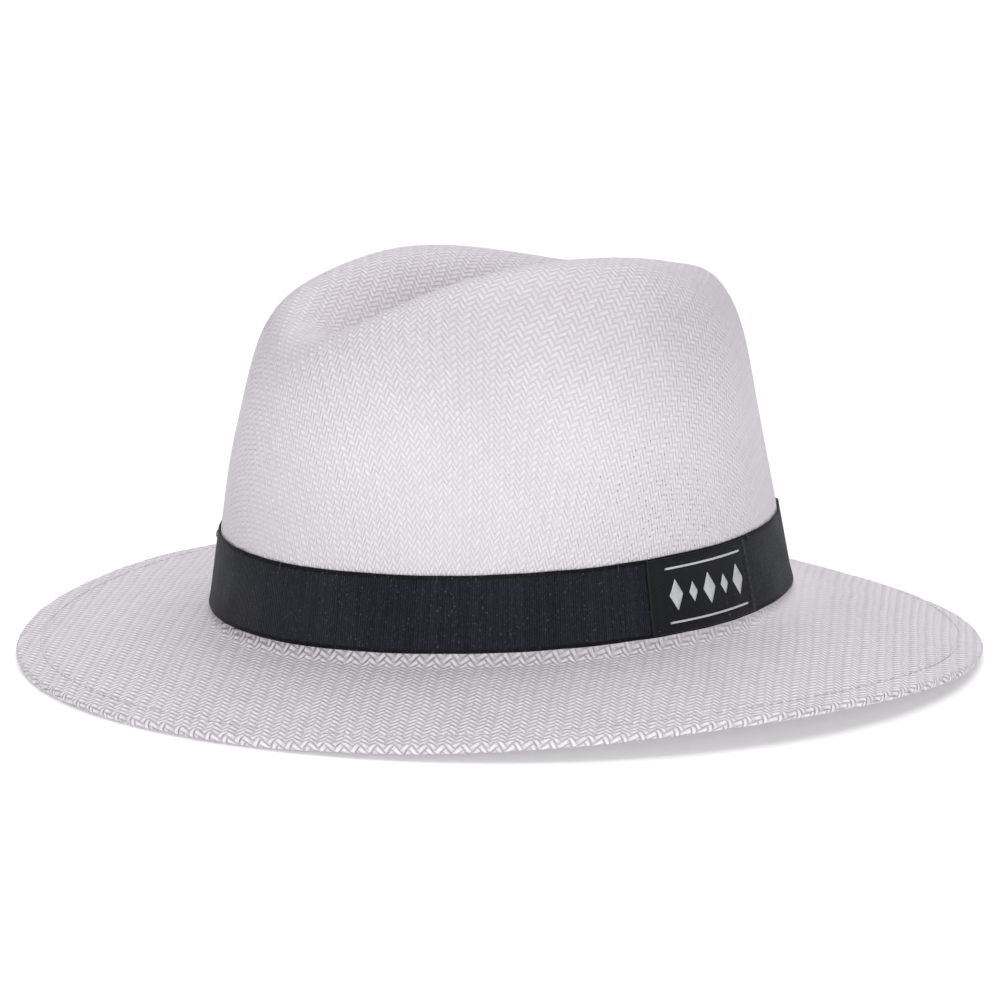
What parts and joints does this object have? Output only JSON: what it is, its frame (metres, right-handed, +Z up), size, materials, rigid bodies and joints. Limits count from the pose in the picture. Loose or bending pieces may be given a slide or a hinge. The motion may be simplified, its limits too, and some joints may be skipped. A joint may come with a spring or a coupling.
{
  "type": "panama hat",
  "caption": "Woven straw panama hat with a creased and pinched crown, a wired brim, a ribbon with a plain patterned patch, and a sweatband.",
  "frame": {"origin": "centre of the brim's outline, on the table that the hat rests on", "axes": "+Z up, -Y towards the front of the hat, +X towards the wearer's left"},
  "size_m": [0.302, 0.3384, 0.136],
  "materials": {
    "straw": "satin woven paper straw",
    "wire": "drawn steel",
    "sleeve": "crimped",
    "hem_thread": "matte polyester thread",
    "ribbon": "ribbed grosgrain",
    "dark_thread": "matte thread",
    "patch": "woven satin",
    "patch_thread": "woven satin pattern",
    "sweat_cloth": "cotton twill",
    "piping_cloth": "cotton covered cord",
    "light_thread": "matte thread",
    "join_tape": "cotton tape",
    "label_satin": "blank woven satin"
  },
  "bodies": {
    "root": {"woven_body": "straw", "brim_wire": "wire", "wire_sleeve": "sleeve", "hem_stitching": "hem_thread", "ribbon_band": "ribbon", "ribbon_tacks": "dark_thread", "side_patch": "patch", "patch_pattern": "patch_thread", "patch_stitching": "dark_thread", "sweatband": "sweat_cloth", "sweatband_piping": "piping_cloth", "sweatband_stitching": "light_thread", "sweatband_join": "join_tape", "size_tag": "label_satin", "care_tag": "label_satin"}
  },
  "joints": []
}
